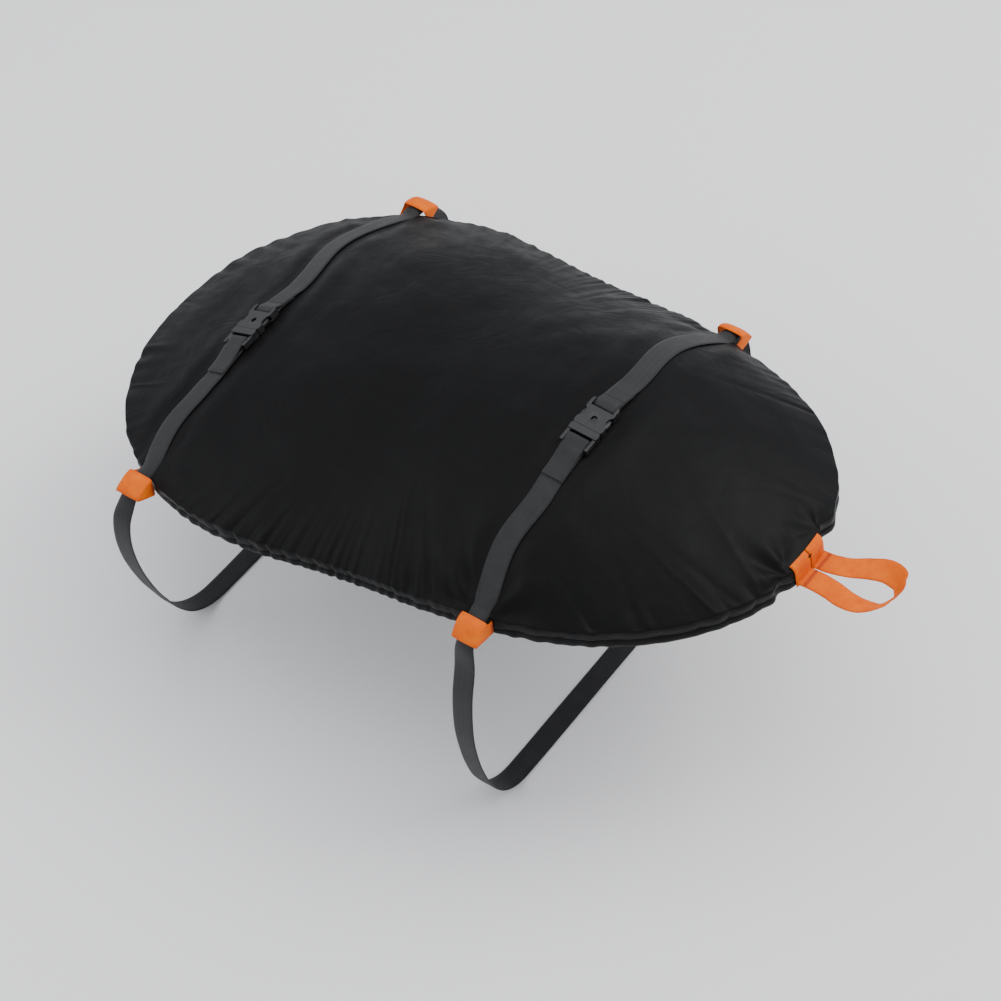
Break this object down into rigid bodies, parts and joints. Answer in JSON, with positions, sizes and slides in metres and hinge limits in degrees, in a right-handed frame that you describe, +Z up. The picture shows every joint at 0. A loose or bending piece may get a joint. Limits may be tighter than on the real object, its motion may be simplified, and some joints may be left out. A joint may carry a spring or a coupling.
{
  "type": "kayak cockpit cover",
  "caption": "Domed elastic-hem fabric cover for a kayak cockpit with two buckled hull straps, orange keeper loops and a front pull loop.",
  "frame": {"origin": "centre of the cockpit coaming rim that the cover is stretched over, on the rim plane", "axes": "+X towards the bow, +Y to port, +Z up with the boat level; the rim plane is pitched 6.1 degrees bow up about Y, and the straps' keel runs lie at z = -0.288 m"},
  "size_m": [0.9357, 0.5756, 0.4079],
  "materials": {
    "cover_fabric": "matt coated nylon",
    "webbing_black": "woven webbing",
    "webbing_orange": "woven webbing",
    "buckle_plastic": "fine moulded texture",
    "elastic_cord": "braided sheath"
  },
  "bodies": {
    "cover": {"cover_panel": "cover_fabric", "hem_sleeve": "cover_fabric", "shock_cord": "elastic_cord", "keeper_front_right": "webbing_orange", "keeper_front_left": "webbing_orange", "keeper_rear_right": "webbing_orange", "keeper_rear_left": "webbing_orange", "pull_loop_tabs": "webbing_orange", "front_strap": "webbing_black", "front_strap_run": "webbing_black", "front_strap_fold": "webbing_black", "front_socket": "buckle_plastic", "rear_strap": "webbing_black", "rear_strap_run": "webbing_black", "rear_strap_fold": "webbing_black", "rear_socket": "buckle_plastic"},
    "pull_loop": {"pull_loop": "webbing_orange"},
    "front_plug": {"front_plug": "buckle_plastic", "front_strap_tail": "webbing_black"},
    "front_prong_fore": {"front_prong_fore": "buckle_plastic"},
    "front_prong_aft": {"front_prong_aft": "buckle_plastic"},
    "rear_plug": {"rear_plug": "buckle_plastic", "rear_strap_tail": "webbing_black"},
    "rear_prong_fore": {"rear_prong_fore": "buckle_plastic"},
    "rear_prong_aft": {"rear_prong_aft": "buckle_plastic"}
  },
  "joints": [
    {"name": "pull_loop_lift", "type": "hinge", "parent": "cover", "child": "pull_loop", "pos_m": [0.4259, 0, 0.02741], "axis": [0, -1, 0], "range_deg": [0, 80]},
    {"name": "front_plug_release", "type": "slide", "parent": "cover", "child": "front_plug", "axis": [-0.0042, -0.9965, -0.0836], "range_m": [0, 0.03], "deforming": ["front_prong_fore", "front_prong_aft", "front_strap_run"]},
    {"name": "front_prong_fore_press", "type": "hinge", "parent": "front_plug", "child": "front_prong_fore", "pos_m": [0.18773, -0.03542, 0.11075], "axis": [0.0498, -0.0837, 0.9952], "range_deg": [0, 10], "stiffness_Nm_per_rad": 0.6},
    {"name": "front_prong_aft_press", "type": "hinge", "parent": "front_plug", "child": "front_prong_aft", "pos_m": [0.16875, -0.03542, 0.1117], "axis": [-0.0498, 0.0837, -0.9952], "range_deg": [0, 10], "stiffness_Nm_per_rad": 0.6},
    {"name": "rear_plug_release", "type": "slide", "parent": "cover", "child": "rear_plug", "axis": [0.0231, -0.9977, -0.0642], "range_m": [0, 0.03], "deforming": ["rear_prong_fore", "rear_prong_aft", "rear_strap_run"]},
    {"name": "rear_prong_fore_press", "type": "hinge", "parent": "rear_plug", "child": "rear_prong_fore", "pos_m": [-0.2537, -0.05334, 0.02947], "axis": [-0.3378, -0.0682, 0.9387], "range_deg": [0, 10], "stiffness_Nm_per_rad": 0.6},
    {"name": "rear_prong_aft_press", "type": "hinge", "parent": "rear_plug", "child": "rear_prong_aft", "pos_m": [-0.27158, -0.05334, 0.02303], "axis": [0.3378, 0.0682, -0.9387], "range_deg": [0, 10], "stiffness_Nm_per_rad": 0.6}
  ]
}
